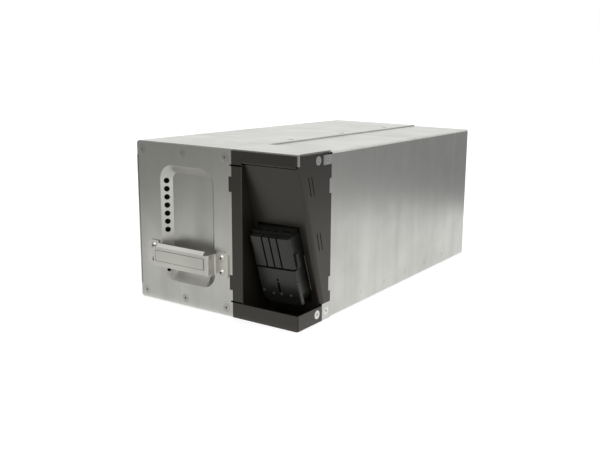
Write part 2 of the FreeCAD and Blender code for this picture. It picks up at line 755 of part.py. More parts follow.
def handle():
    """Folded strip: two feet on the plate, two legs and a grip with rolled edges."""
    body = new_body("handle")
    left, right, gauge, stand = HANDLE_LEFT, HANDLE_RIGHT, "handle_gauge", "handle_stand"
    strip = [
        (FOOT_LEFT, "0"),
        (left + "+" + gauge, "0"),
        (left + "+" + gauge, "-%s+%s" % (stand, gauge)),
        (right + "-" + gauge, "-%s+%s" % (stand, gauge)),
        (right + "-" + gauge, "0"),
        (FOOT_RIGHT, "0"),
        (FOOT_RIGHT, "-" + gauge),
        (right, "-" + gauge),
        (right, "-" + stand),
        (left, "-" + stand),
        (left, "-" + gauge),
        (FOOT_LEFT, "-" + gauge),
    ]
    slab(body, "strip", "XY_Plane", "handle_low", "handle_height", [strip])
    middle = mm("recess_left") + mm("recess_width") / 2
    outer_left, outer_right = middle - mm("handle_span") / 2, middle + mm("handle_span") / 2
    front, thick = -mm("handle_stand"), mm("handle_gauge")
    fold(body, "outside_bends", "handle_bend",
         ("z", {"x": outer_left, "y": front}), ("z", {"x": outer_right, "y": front}),
         ("z", {"x": outer_left + thick, "y": 0}), ("z", {"x": outer_right - thick, "y": 0}))
    fold(body, "inside_bends", "handle_bend-handle_gauge",
         ("z", {"x": outer_left + thick, "y": front + thick}),
         ("z", {"x": outer_right - thick, "y": front + thick}),
         ("z", {"x": outer_left, "y": -thick}), ("z", {"x": outer_right, "y": -thick}))
    feet_low, feet_high = "handle_low-foot_extra", "handle_low+handle_height+foot_extra"
    feet = [
        box_loop(FOOT_LEFT, left + "-handle_bend+handle_gauge/2", feet_low, feet_high),
        box_loop(right + "+handle_bend-handle_gauge/2", FOOT_RIGHT, feet_low, feet_high),
    ]
    slab(body, "feet", "XZ_Plane", "-handle_gauge", "handle_gauge", feet)
    foot_z = [mm("handle_low") - mm("foot_extra"), mm("handle_low") + mm("handle_height") + mm("foot_extra")]
    foot_x = [outer_left - mm("foot_reach"), outer_right + mm("foot_reach")]
    fold(body, "foot_corners", "foot_corner",
         *[("y", {"x": side, "z": level}) for side in foot_x for level in foot_z])
    top = "(handle_low+handle_height)"
    front_face = "-" + stand
    upper_lip = [
        (front_face, top),
        (front_face + "+lip_run", top + "+lip_rise"),
        (front_face + "+lip_run+handle_gauge", top + "+lip_rise-handle_gauge/2"),
        (front_face + "+handle_gauge", top + "-handle_gauge/2"),
        (front_face + "+handle_gauge", top + "-handle_gauge"),
        (front_face, top + "-handle_gauge"),
    ]
    lower_lip = [
        (front_face, "handle_low"),
        (front_face + "+under_lip", "handle_low"),
        (front_face + "+under_lip", "handle_low+handle_gauge"),
        (front_face, "handle_low+handle_gauge"),
    ]
    span = "handle_span-2*lip_inset"
    slab(body, "upper_lip", "YZ_Plane", left + "+lip_inset", span, [upper_lip])
    slab(body, "lower_lip", "YZ_Plane", left + "+lip_inset", span, [lower_lip])
    panel = ("%s+grip_panel_inset" % left, "%s-grip_panel_inset" % right,
             HANDLE_MIDDLE + "+1-grip_panel_height/2", HANDLE_MIDDLE + "+1+grip_panel_height/2", "1")
    slab(body, "grip_panel", "XZ_Plane", "-%s-grip_panel_proud" % stand, "grip_panel_proud", [panel])
    bores = [(across, up, "rivet_shank+screw_clearance") for across in RIVET_COLUMNS for up in RIVET_ROWS]
    cut(body, "rivet_bores", "XZ_Plane", "-handle_gauge", "handle_gauge", bores)
    return body


def handle_rivets():
    """Domed blind rivets with their pulled stems' hollow, one pair on each foot."""
    grip = "(handle_gauge+plate_gauge)"
    profile = [
        ("rivet_hole/2", "-rivet_hollow"),
        ("rivet_hole/2", "rivet_crown"),
        ("rivet_flat/2", "rivet_crown"),
        ("rivet_head/2", "0"),
        ("rivet_shank/2", "0"),
        ("rivet_shank/2", "-%s-lap_gap/2" % grip),
        ("rivet_flat/2", "-%s-rivet_crown" % grip),
        ("0", "-%s-rivet_crown" % grip),
        ("0", "-rivet_hollow"),
    ]
    span = "handle_span+2*foot_reach-2*rivet_inset"
    return turned("handle_rivets", profile, TO_FRONT, (RIVET_COLUMNS[0], "-handle_gauge", RIVET_ROWS[0]),
                  grid=[(2, span), (2, "rivet_pitch")])


# ---------------------------------------------------------------- screws in the case
def front_screws():
    """Countersunk screws of the front plate, three along the top and three below."""
    span = "(left_width-2*plate_screw_inset)/2"
    return turned("front_screws", countersunk("screw_head", "screw_shank", "screw_length"), TO_FRONT,
                  (COLUMNS[0], "0", ROWS[0]),
                  grid=[(3, span), (2, "case_height-2*plate_screw_inset")], drive=True)


def rear_screws():
    """Countersunk screws of the rear panel."""
    span = "(case_width-2*plate_screw_inset)"
    return turned("rear_screws", countersunk("screw_head", "screw_shank", "rear_screw_length"), TO_BACK,
                  (REAR_COLUMNS[1], "case_depth", ROWS[0]),
                  grid=[(2, span), (2, "case_height-2*plate_screw_inset")])


def seam_screws():
    """Small countersunk screws that close the lap of the two top sheets."""
    return turned("seam_screws", countersunk("seam_screw_head", "seam_screw_shank", "seam_screw_length"),
                  None, ("seam_column", SEAM_STATIONS[0], "case_height"),
                  grid=[(1, "0"), (3, "seam_screw_pitch")])


def side_screws(label, depth):
    """A pair of countersunk screws in the right side, one high and one low."""
    return turned(label, countersunk("screw_head", "screw_shank", "screw_length"), TO_RIGHT,
                  ("case_width", depth, SIDE_ROWS[0]), grid=[(1, "0"), (2, "side_screw_rise")], drive=True)


# ---------------------------------------------------------------- black connector bay
BAY_LEFT = "(left_width+lap_gap)"
BAY_INNER = "(left_width+lap_gap+bay_flange)"
FLANGE_FACE = "(case_width-case_gauge-lap_gap)"
JOGGLE_FACE = "(case_width-case_gauge-lap_gap-bay_gauge)"
SLANT = "sqrt(1+wall_lean^2)"


def bay_frame():
    """Folded surround of the bay: left flange and cheek, lintel, roof and tray."""
    body = new_body("bay_frame")
    left, inner, gauge = BAY_LEFT, BAY_INNER, "bay_gauge"
    flange_low, flange_high = "tray_lip+bay_slot", "bay_lintel_low-bay_gauge-bay_slot"
    flange = box_loop(left, inner, flange_low, flange_high)
    lintel = box_loop(left, "case_width-corner_relief", "bay_lintel_low", "bay_lintel_high")
    tray_front = box_loop(left, "case_width-2*edge_gap", "0", "tray_lip")
    slab(body, "front_faces", "XZ_Plane", "0", gauge, [flange, lintel, tray_front])
    under = box_loop(left, "case_width-corner_relief", "0", "lintel_return")
    slab(body, "lintel_return", "XY_Plane", "bay_lintel_low", gauge, [under])
    fold(body, "lintel_bend", "lintel_bend", ("x", {"y": 0, "z": mm("bay_lintel_low"), "shortest": 40}))
    step = box_loop(left, inner, "bay_lintel_low-bay_gauge", "bay_lintel_low+lintel_bend")
    slab(body, "lintel_step", "XZ_Plane", "0", gauge, [step])
    tabs = [
        box_loop(left + "-bay_tab_reach", left, level, level + "+bay_tab_height")
        for level in ("bay_tab_low", "bay_tab_high")
    ]
    slab(body, "flange_tabs", "XZ_Plane", "0", gauge, tabs)
    roof_right = "case_width-wall_bend-edge_gap"
    cheek = [
        ("0", flange_low),
        ("0", flange_high),
        ("bay_gauge+lap_gap", flange_high),
        ("bay_gauge+lap_gap", "bay_lintel_high"),
        (wall_depth("bay_lintel_high") + "+panel_lap", "bay_lintel_high"),
        ("bay_depth-edge_gap", "0"),
        ("bay_gauge", "0"),
        ("bay_gauge", flange_low),
    ]
    slab(body, "cheek", "YZ_Plane", inner + "-bay_gauge", gauge, [cheek])
    roof = box_loop(left, roof_right, "0", "bay_depth-lap_gap")
    slab(body, "roof", "XY_Plane", "bay_lintel_high-bay_gauge", gauge, [roof])
    floor = [
        (left, "bay_gauge/2"),
        ("case_width-case_gauge/2", "bay_gauge/2"),
        ("case_width-case_gauge/2", "ear_front-edge_gap"),
        (JOGGLE_FACE, "ear_front-edge_gap"),
        (JOGGLE_FACE, "bay_depth-edge_gap"),
        (left, "bay_depth-edge_gap"),
    ]
    slab(body, "tray_floor", "XY_Plane", "0", gauge, [floor])
    side_lip = box_loop("bay_gauge+edge_gap", "ear_front-edge_gap", "0", "tray_lip")
    slab(body, "tray_side", "YZ_Plane", "case_width-bay_gauge", gauge, [side_lip])
    corner = {"x": mm("left_width") + mm("lap_gap") + mm("bay_flange"), "y": 0, "shortest": 20}
    fold(body, "cheek_bend", "bay_gauge*0.8", ("z", corner))
    backing_low = "case_bend+edge_gap"
    gusset = box_loop("ear_front-edge_gap-bay_gauge*4", "ear_front-edge_gap", backing_low,
                      "tray_lip-bay_gauge")
    slab(body, "ear_backing_root", "YZ_Plane", JOGGLE_FACE, "bay_gauge+lap_gap", [gusset])
    backing = box_loop("ear_front-edge_gap-bay_gauge*4", "bay_depth+panel_lap", backing_low,
                       "tray_lip-bay_gauge")
    slab(body, "ear_backing", "YZ_Plane", JOGGLE_FACE, "bay_gauge", [backing])
    drop_start = "wall_start+wall_bend+bay_gauge"
    drop = box_loop(drop_start, "bay_depth-corner_relief", "bay_lintel_low", "bay_lintel_high")
    slab(body, "roof_drop", "YZ_Plane", JOGGLE_FACE, "bay_gauge", [drop])
    shelf = box_loop(roof_right + "-bay_gauge", FLANGE_FACE, drop_start, "bay_depth-corner_relief")
    slab(body, "roof_edge", "XY_Plane", "bay_lintel_high-bay_gauge", "bay_gauge", [shelf])
    cut(body, "lip_seat", "YZ_Plane", "case_width-bay_gauge", gauge,
        [("bay_screw_depth", SIDE_ROWS[0], behind("bay_gauge"))], taper="45")
    cut(body, "ear_bore", "YZ_Plane", JOGGLE_FACE, gauge,
        [("ear_screw_depth", row, behind("case_gauge")) for row in SIDE_ROWS])
    cut(body, "drop_bore", "YZ_Plane", JOGGLE_FACE, gauge,
        [("bay_screw_depth", SIDE_ROWS[1], behind("bay_gauge"))])
    return body


def bay_back_panel():
    """Leaning wall and the bay's right side, one sheet bent along the slope."""
    body = new_body("bay_back_panel")
    left, right = BAY_INNER + "+edge_gap", "case_width"
    reach = "(bay_depth+panel_lap)"
    angle = [
        (left, "0"),
        (right, "0"),
        (right, reach),
        (right + "-bay_gauge", reach),
        (right + "-bay_gauge", "bay_gauge"),
        (left, "bay_gauge"),
    ]
    sketch = sketch_on(body, "angle_outline", "XY_Plane")
    lean = math.degrees(math.atan(mm("wall_lean")))
    sketch.AttachmentOffset = FreeCAD.Placement(
        FreeCAD.Vector(0, 0, 0), FreeCAD.Rotation(FreeCAD.Vector(1, 0, 0), lean))
    sketch.setExpression("AttachmentOffset.Base.y", formula(wall_depth("case_height/2")))
    sketch.setExpression("AttachmentOffset.Base.z", formula("case_height/2"))
    add_loop(sketch, angle)
    pad = body.newObject("PartDesign::Pad", "angle")
    pad.Profile = sketch
    pad.Midplane = True
    pad.setExpression("Length", formula("case_height*1.4"))
    body.Tip = pad
    doc.recompute()
    bend_along_slope(body, "outer_bend", mm("case_width"), 0, "wall_bend")
    bend_along_slope(body, "inner_bend", mm("case_width") - mm("bay_gauge"), mm("bay_gauge"),
                     "wall_bend-bay_gauge")
    low = "tray_lip+bay_slot"
    foot = "(bay_gauge+lap_gap)"
    rear = "(bay_depth-edge_gap)"
    ear_low = TOP_LOW + "-case_bend-ear_height-edge_gap"
    kept = [
        ("wall_start-1", "wall_top"),
        ("wall_start", "wall_top"),
        ("wall_start", "bay_lintel_high"),
        ("ear_front-edge_gap", "bay_lintel_high"),
        ("ear_front-edge_gap", ear_low),
        (rear, ear_low),
    ]
    for level in ("bay_tab_high", "bay_tab_low"):
        kept += [
            (rear, level + "+bay_tab_height+edge_gap"),
            (rear + "-bay_tab_reach", level + "+bay_tab_height+edge_gap"),
            (rear + "-bay_tab_reach", level + "-edge_gap"),
            (rear, level + "-edge_gap"),
        ]
    kept += [
        (rear, low),
        (wall_depth(low) + "+bay_gauge*2", low),
        (wall_depth(foot) + "+bay_gauge*2", foot),
        (wall_depth(foot) + "-1", foot),
    ]
    around = box_loop("-case_depth/4", "case_depth/2", "-case_height/2", "case_height*1.5")
    cut(body, "outline", "YZ_Plane", left + "-1", "case_width", [around, kept])
    inner_right = JOGGLE_FACE + "-lap_gap"
    shoulder = box_loop(left + "-1", right + "-wall_bend", "wall_top", "case_height")
    skirt_end = box_loop(inner_right, right + "+1", "0", low)
    cut(body, "wall_head", "XZ_Plane", "-1", "bay_depth", [shoulder, skirt_end])
    flange = box_loop(rear + "-panel_lap/2", "bay_depth+panel_lap", low + "+bay_gauge", "wall_top-bay_gauge")
    root = box_loop(rear + "-panel_lap/2", rear + "-bay_tab_reach-edge_gap", low + "+bay_gauge",
                    "wall_top-bay_gauge")
    slab(body, "rear_joggle_root", "YZ_Plane", JOGGLE_FACE, "bay_gauge+lap_gap", [root])
    slab(body, "rear_joggle", "YZ_Plane", JOGGLE_FACE, "bay_gauge", [flange])
    slits = [slit_loop(level, "slit_behind+%d*slit_pitch" % step)
             for level in ("slit_upper", "slit_lower") for step in range(2)]
    cut(body, "slits", "YZ_Plane", "case_width-bay_gauge", "bay_gauge", slits)
    cut(body, "screw_seat", "YZ_Plane", "case_width-bay_gauge", "bay_gauge",
        [("bay_screw_depth", SIDE_ROWS[1], behind("bay_gauge"))], taper="45")
    window = box_loop("plug_across-plug_width/2-cutout_gap", "plug_across+plug_width/2+cutout_gap",
                      wall_height("plug_low"), wall_height("plug_high"))
    cut(body, "plug_window", "XZ_Plane", "0", "bay_depth", [window])
    return body


def wall_height(run):
    """Height of the point that lies this far up the slope from the plug's middle."""
    return "(plug_height+(%s)/%s)" % (run, SLANT)


def bend_along_slope(body, name, across, behind_face, radius):
    """Rounds the slanted edge of the angle that lies at x = across."""
    base = body.Tip
    lean = mm("wall_lean")
    names = []
    for index, edge in enumerate(base.Shape.Edges, start=1):
        ends = [vertex.Point for vertex in edge.Vertexes]
        if len(ends) != 2 or max(abs(end.x - across) for end in ends) > 0.01:
            continue
        rise = ends[1].z - ends[0].z
        if abs(rise) < 50 or abs((ends[1].y - ends[0].y) / rise + lean) > 1e-3:
            continue
        front = mm("wall_start") + (mm("wall_top") - ends[0].z) * lean
        if abs((ends[0].y - front) / math.sqrt(1 + lean * lean) - behind_face) < 0.01:
            names.append("Edge%d" % index)
    fillet = body.newObject("PartDesign::Fillet", name)
    fillet.Base = (base, names)
    fillet.setExpression("Radius", formula(radius))
    body.Tip = fillet
    doc.recompute()


def slit_loop(level, behind_wall):
    """A thin slot parallel to the slope, this far behind the wall's front face."""
    half = "slit_length/(2*%s)" % SLANT
    low, high = "%s-%s" % (level, half), "%s+%s" % (level, half)
    return [
        ("%s+%s" % (wall_depth(low), behind_wall), low),
        ("%s+%s+slit_width" % (wall_depth(low), behind_wall), low),
        ("%s+%s+slit_width" % (wall_depth(high), behind_wall), high),
        ("%s+%s" % (wall_depth(high), behind_wall), high),
    ]


# ---------------------------------------------------------------- battery connector
def place_plug(body):
    """Sets a body drawn about the plug's middle on the leaning wall."""
    lean = math.degrees(math.atan(mm("wall_lean")))
    roll = FreeCAD.Rotation(FreeCAD.Vector(0, -1, 0), mm("plug_roll"))
    place(body, ("plug_across", wall_depth("plug_height"), "plug_height"),
          FreeCAD.Rotation(FreeCAD.Vector(1, 0, 0), lean).multiply(roll))


TOWER_WIDE = "(plug_width/2-small_tower-tower_gap*1.5)"
TOWERS = [
    ("-plug_width/2", TOWER_WIDE),
    ("-(small_tower+tower_gap/2)", "small_tower"),
    ("tower_gap/2", "small_tower"),
    ("plug_width/2-" + TOWER_WIDE, TOWER_WIDE),
]
PLUG_EARS = ["(plug_low-plug_ear/2)", "(plug_high+plug_ear/2)"]
SOCKET_BACK = "(socket_wall+tower_relief-plug_proud)"


def connector_housing():
    """Moulded four-way housing: round-cornered body, waist and four tower ribs."""
    body = new_body("connector_housing")
    half = "plug_width/2"
    lower = box_loop("-" + half, half, "-plug_body_height-waist_height", "-waist_height")
    slab(body, "lower_body", "XZ_Plane", "-plug_proud", "plug_proud+plug_behind", [lower])
    side, foot = mm("plug_width") / 2, -mm("plug_body_height") - mm("waist_height")
    fold(body, "chin", "plug_corner", ("y", {"x": -side, "z": foot}), ("y", {"x": side, "z": foot}))
    core = box_loop("-" + half, half, "-waist_height-1", "plug_tower_height")
    slab(body, "upper_core", "XZ_Plane", "tower_relief-plug_proud", "plug_proud+plug_behind-tower_relief",
         [core])
    ribs = [box_loop(start, "%s+%s" % (start, wide), "0", "plug_tower_height") for start, wide in TOWERS]
    slab(body, "tower_ribs", "XZ_Plane", "-plug_proud", "tower_relief+0.5", ribs)
    fold(body, "tower_bends", "tower_bend",
         ("z", {"x": -side, "y": -mm("plug_proud")}), ("z", {"x": side, "y": -mm("plug_proud")}))
    web = box_loop("-tower_gap", "tower_gap", "tower_relief", "plug_tower_height")
    slab(body, "middle_web", "XZ_Plane", "tower_web-plug_proud", "tower_relief-tower_web+0.5", [web])
    block = box_loop(half + "-1", half + "+key_block", "0", "plug_tower_height*0.45")
    slab(body, "side_key", "XZ_Plane", "tower_relief-plug_proud", "tower_relief", [block])
    collar = box_loop("-%s+1" % half, half + "-1", "plug_tower_height-1", "plug_tower_height+plug_collar")
    slab(body, "mating_collar", "XZ_Plane", "tower_relief-plug_proud",
         "plug_proud+plug_behind-tower_relief-1", [collar])
    flange = ("-%s+plug_ear/2" % half, half + "-plug_ear/2", "plug_low-plug_ear", "plug_high+plug_ear",
              "plug_ear/2")
    slab(body, "rear_flange", "XZ_Plane", "2*bay_gauge+2*lap_gap", "plug_flange", [flange])
    top = "(plug_tower_height+plug_collar)"
    sockets = [
        box_loop("%s+socket_wall" % start, "%s+%s-socket_wall" % (start, wide),
                 SOCKET_BACK, SOCKET_BACK + "+socket_thickness")
        for start, wide in TOWERS
    ]
    cut(body, "sockets", "XY_Plane", top + "-socket_depth", "socket_depth+1", sockets)
    tails = [
        box_loop("%s+socket_wall" % start, "%s+%s-socket_wall" % (start, wide),
                 top + "-socket_depth", top + "-socket_depth+contact_tail")
        for start, wide in TOWERS
    ]
    cut(body, "tail_ways", "XZ_Plane", SOCKET_BACK, "plug_proud+plug_behind+socket_thickness", tails)
    key_slot = box_loop("-key_slot/2", "key_slot/2", "-plug_body_height*0.7", "-plug_body_height*0.43")
    key_hole = ("0", "-plug_body_height*0.36", "key_slot")
    cut(body, "key_slot", "XZ_Plane", "-plug_proud", "key_slot", [key_slot, key_hole])
    bores = [("0", end, "plug_screw+2*screw_clearance") for end in PLUG_EARS]
    cut(body, "ear_bores", "XZ_Plane", "2*bay_gauge+2*lap_gap", "plug_flange", bores)
    place_plug(body)
    return body


def connector_contacts():
    """Plated blades in the sockets, with tails out of the housing's back."""
    body = new_body("connector_contacts")
    foot = "(plug_tower_height+plug_collar-socket_depth)"
    blades = [
        box_loop("%s+socket_wall+contact_gap" % start, "%s+%s-socket_wall-contact_gap" % (start, wide),
                 SOCKET_BACK + "+contact_gap*2", SOCKET_BACK + "+socket_thickness-contact_gap*2")
        for start, wide in TOWERS
    ]
    slab(body, "blades", "XY_Plane", foot, "socket_depth-plug_collar", blades)
    tails = [
        box_loop("%s+socket_wall+contact_gap" % start, "%s+%s-socket_wall-contact_gap" % (start, wide),
                 foot, foot + "+contact_tail-2*contact_gap")
        for start, wide in TOWERS
    ]
    slab(body, "tails", "XZ_Plane", SOCKET_BACK + "+contact_gap*2",
         "plug_proud+plug_behind-socket_wall-tower_relief+4", tails)
    place_plug(body)
    return body


def connector_bracket():
    """Steel frame behind the wall that the housing's flange is screwed to."""
    body = new_body("connector_bracket")
    half = "plug_width/2"
    reach = half + "+cutout_gap/2+bracket_border"
    plate = box_loop("-(%s)" % reach, reach, "plug_low-plug_ear", "plug_high+plug_ear")
    slab(body, "plate", "XZ_Plane", "bay_gauge+lap_gap", "bay_gauge", [plate])
    opening = box_loop("-%s-cutout_gap/2" % half, half + "+cutout_gap/2", "plug_low", "plug_high")
    cut(body, "opening", "XZ_Plane", "bay_gauge+lap_gap", "bay_gauge", [opening])
    bores = [("0", end, "plug_screw+2*screw_clearance") for end in PLUG_EARS]
    cut(body, "bores", "XZ_Plane", "bay_gauge+lap_gap", "bay_gauge", bores)
    place_plug(body)
    return body


def connector_screws():
    """Pan-head screws through the housing's ears, driven from behind."""
    body = new_body("connector_screws")
    base = "(2*bay_gauge+2*lap_gap+plug_flange)"
    for name, end in zip(("lower", "upper"), PLUG_EARS):
        slab(body, name + "_shank", "XZ_Plane", "bay_gauge+lap_gap", base + "-bay_gauge-lap_gap",
             [("0", end, "plug_screw")])
        slab(body, name + "_head", "XZ_Plane", base, "plug_screw*0.6", [("0", end, "plug_screw*1.8")])
    place_plug(body)
    return body


# ---------------------------------------------------------------- sealed blocks inside
def battery(number, at, turn):
    """One sealed lead-acid block standing on its end, its two tabs on the lid's face."""
    body = new_body("battery_%d" % number)
    case = box_loop("0", "block_thick", "0", "block_tall")
    slab(body, "case", "YZ_Plane", "0", "block_deep-block_lid-block_groove", [case])
    neck = box_loop("block_groove", "block_thick-block_groove", "block_groove", "block_tall-block_groove")
    slab(body, "neck", "YZ_Plane", "block_deep-block_lid-block_groove-1", "block_groove+2", [neck])
    slab(body, "lid", "YZ_Plane", "block_deep-block_lid", "block_lid", [case])
    tabs = [
        box_loop("block_thick*0.3-tab_gauge/2", "block_thick*0.3+tab_gauge/2", level + "-tab_width/2",
                 level + "+tab_width/2")
        for level in ("tab_inset", "(block_tall-tab_inset)")
    ]
    slab(body, "tabs", "YZ_Plane", "block_deep-0.5", "tab_height+0.5", tabs)
    place(body, at, turn)
    return body


def batteries():
    """Five blocks along the left wall and three, turned, behind the bay."""
    made = []
    for index in range(LEFT_BLOCKS):
        back = "block_start+%d*left_block_step" % index
        made.append(battery(index + 1, ("left_block_side", back, "block_floor"), None))
    quarter = FreeCAD.Rotation(FreeCAD.Vector(0, 0, 1), -90)
    for index in range(RIGHT_BLOCKS):
        back = "back_block_start+%d*right_block_step+block_deep" % index
        corner = ("right_block_side-block_thick", back, "block_floor")
        made.append(battery(LEFT_BLOCKS + index + 1, corner, quarter))
    return made


def foam_pads():
    """Soft pads between the left-hand blocks."""
    body = new_body("foam_pads")
    pads = []
    for index in range(LEFT_BLOCKS - 1):
        start = "block_start+%d*left_block_step+block_thick" % index
        pads.append(box_loop("left_block_side+pad_inset", "left_block_side+block_deep-block_lid-pad_inset",
                             start, start + "+pad_gauge"))
    slab(body, "pads", "XY_Plane", "block_floor+block_tall*0.1", "block_tall*0.8", pads)
    return body


def end_pads():
    """Foam at the back of both columns that keeps the blocks from sliding."""
    body = new_body("end_pads")
    left = box_loop("left_block_side+pad_inset", "left_block_side+block_deep-block_lid-pad_inset",
                    "block_room-end_pad_gauge", "block_room")
    right = box_loop("right_block_side-block_thick+pad_inset", "right_block_side-pad_inset",
                     "block_room-back_pad_gauge", "block_room")
    slab(body, "pads", "XY_Plane", "block_floor+block_tall*0.1", "block_tall*0.8", [left, right])
    return body


def insulating_liner():
    """Thin plastic sheet between the tabs of the two columns."""
    body = new_body("insulating_liner")
    side = "right_block_side-block_thick-2*lap_gap"
    outline = box_loop("back_block_start-back_block_gap/2", WALL_REAR + "-case_gauge-lap_gap",
                       "2*case_gauge+3*lap_gap", TOP_LOW + "-case_gauge-flange_reach-1")
    slab(body, "sheet", "YZ_Plane", side + "-liner_gauge", "liner_gauge", [outline])
    return body


SUB_PARTS = [
    case_wrap_left, case_wrap_right, front_plate, rear_panel, handle, handle_rivets,
    front_screws, rear_screws, seam_screws,
    bay_frame, bay_back_panel, connector_housing, connector_contacts, connector_bracket,
    connector_screws, foam_pads, end_pads, insulating_liner,
]


def check(thing):
    """Stops if a sub-part isn't a sound solid."""
    shape = thing.Shape
    if shape.isNull() or not shape.isValid() or not shape.Solids:
        raise RuntimeError("%s has no sound shape" % thing.Label)


def build():
    """Makes every sub-part, tests the document and writes one file for each node."""
    made = {}
    for maker in SUB_PARTS:
        made[maker.__name__] = maker()
    made["bay_screws"] = side_screws("bay_screws", "bay_screw_depth")
    made["ear_screws"] = side_screws("ear_screws", "ear_screw_depth")
    for block in batteries():
        made[block.Label] = block
    doc.recompute()
    for thing in doc.Objects:
        if "Invalid" in thing.State or "Error" in thing.State:
            raise RuntimeError("%s failed to build" % thing.Label)
    for name, thing in made.items():
        check(thing)
    for name, thing in made.items():
        thing.Shape.exportStep(os.path.join("parts", name + ".step"))
        box = thing.Shape.BoundBox
        print("%-20s solids %d volume %9.0f  x %7.1f %7.1f  y %7.1f %7.1f  z %6.1f %6.1f" % (
            name, len(thing.Shape.Solids), thing.Shape.Volume,
            box.XMin, box.XMax, box.YMin, box.YMax, box.ZMin, box.ZMax))


build()
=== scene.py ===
"""Looks of a battery cartridge for an uninterruptible power supply.

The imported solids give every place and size. This script dresses them in galvanised sheet,
black powder coat and moulded plastic, adds the small parts that only the eye needs, and
sets up a plain white studio. Metres, with the origin in the middle of the case's underside.
"""
import json
import math

import bpy
from mathutils import Matrix, Vector


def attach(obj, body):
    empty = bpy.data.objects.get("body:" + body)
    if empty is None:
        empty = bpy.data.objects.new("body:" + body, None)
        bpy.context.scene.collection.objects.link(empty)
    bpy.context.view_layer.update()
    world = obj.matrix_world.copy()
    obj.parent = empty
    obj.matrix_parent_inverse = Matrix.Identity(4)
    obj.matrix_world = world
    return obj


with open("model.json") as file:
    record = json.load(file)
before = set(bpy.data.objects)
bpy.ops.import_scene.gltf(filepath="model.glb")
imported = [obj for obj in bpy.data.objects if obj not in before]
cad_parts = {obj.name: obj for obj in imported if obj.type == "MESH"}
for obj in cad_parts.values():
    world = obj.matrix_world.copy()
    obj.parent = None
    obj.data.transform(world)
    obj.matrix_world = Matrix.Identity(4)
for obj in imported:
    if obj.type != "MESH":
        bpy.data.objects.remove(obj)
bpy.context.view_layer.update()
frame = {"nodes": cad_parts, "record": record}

MM = 0.001

# Sizes of the case in millimetres, measured from its left front bottom corner.
CASE_WIDTH, CASE_DEPTH, CASE_HEIGHT = 190, 355, 155

# The bay's leaning wall, in millimetres: its foot stands further back than its top.
WALL_TOP_HEIGHT = CASE_HEIGHT - 13
WALL_TOP_DEPTH, WALL_FOOT_DEPTH = 3, 41.34
WALL_LEAN = (WALL_FOOT_DEPTH - WALL_TOP_DEPTH) / WALL_TOP_HEIGHT

# The plug: its place across the case and up the wall, its roll in degrees, and its front face
# and the ends of its glossy part in its own frame; beyond these ends the moulding gets painted
# shade.
PLUG_ACROSS, PLUG_HEIGHT = 156.5, 55
PLUG_ROLL = 2.6
PLUG_FACE = -15
TOWERS_END, COLLAR_START = 29.2, 29.6
CHIN_START, CHIN_END = -26.0, -28.5

# The grip's raised panel (left, right, bottom, top) and the dark strips round it, painted shade of
# a groove.
PANEL_LEFT, PANEL_RIGHT, PANEL_BOTTOM, PANEL_TOP = 33.25, 93.25, 43.65, 53.65
GROOVE_WIDTH, GROOVE_TOP_WIDTH = 0.45, 0.35
GROOVE_FRONT, GROOVE_BACK = -12.28, -12.1

# The handle's rivets: their places across and up the front plate, and their bores, which carry
# painted shadow.
RIVETS = [(20.65, 40.85), (20.65, 54.45), (105.85, 40.85), (105.85, 54.45)]
BORE_RADIUS, BORE_LENGTH, BORE_DEPTH = 1.25, 0.5, -2.8
BORE_RIM, BORE_HOLLOW = 0.25, 0.3


def corner_point(x, y, z):
    """A point given in millimetres from the case's left front bottom corner."""
    return Vector(((x - CASE_WIDTH / 2) * MM, (y - CASE_DEPTH / 2) * MM, z * MM))


# The plug's own frame: x across, y backwards through the leaning wall, z up the slope.
PLUG_DEPTH = WALL_TOP_DEPTH + (WALL_TOP_HEIGHT - PLUG_HEIGHT) * WALL_LEAN
PLUG_FRAME = (
    Matrix.Translation(corner_point(PLUG_ACROSS, PLUG_DEPTH, PLUG_HEIGHT))
    @ Matrix.Rotation(math.atan(WALL_LEAN), 4, "X")
    @ Matrix.Rotation(math.radians(-PLUG_ROLL), 4, "Y")
)


# ---------------------------------------------------------------- material helpers
def new_material(name):
    """A node material with one Principled shader. Returns the material, its tree and the shader."""
    material = bpy.data.materials.new(name)
    material.use_nodes = True
    tree = material.node_tree
    shader = next(node for node in tree.nodes if node.type == "BSDF_PRINCIPLED")
    return material, tree, shader


def object_point(tree, scale=(1, 1, 1), turn=(0, 0, 0)):
    """Object coordinates, stretched and turned."""
    source = tree.nodes.new("ShaderNodeTexCoord")
    mapping = tree.nodes.new("ShaderNodeMapping")
    mapping.inputs["Scale"].default_value = scale
    mapping.inputs["Rotation"].default_value = turn
    tree.links.new(source.outputs["Object"], mapping.inputs["Vector"])
    return mapping.outputs["Vector"]


def noise(tree, point, scale, detail=3, roughness=0.5):
    """Fractal noise from 0 to 1 at the given point."""
    node = tree.nodes.new("ShaderNodeTexNoise")
    node.inputs["Scale"].default_value = scale
    node.inputs["Detail"].default_value = detail
    node.inputs["Roughness"].default_value = roughness
    tree.links.new(point, node.inputs["Vector"])
    return node.outputs["Fac"]


def spread(tree, value, low, high, start=0.3, end=0.7):
    """Maps a value's range from start to end onto low to high."""
    node = tree.nodes.new("ShaderNodeMapRange")
    node.inputs["From Min"].default_value = start
    node.inputs["From Max"].default_value = end
    node.inputs["To Min"].default_value = low
    node.inputs["To Max"].default_value = high
    tree.links.new(value, node.inputs["Value"])
    return node.outputs["Result"]


def blend_colours(tree, value, dark, light, start=0.3, end=0.7):
    """A colour that runs from dark to light with the value."""
    ramp = tree.nodes.new("ShaderNodeValToRGB")
    ramp.color_ramp.elements[0].position = start
    ramp.color_ramp.elements[0].color = dark + (1,)
    ramp.color_ramp.elements[1].position = end
    ramp.color_ramp.elements[1].color = light + (1,)
    tree.links.new(value, ramp.inputs["Fac"])
    return ramp.outputs["Color"]


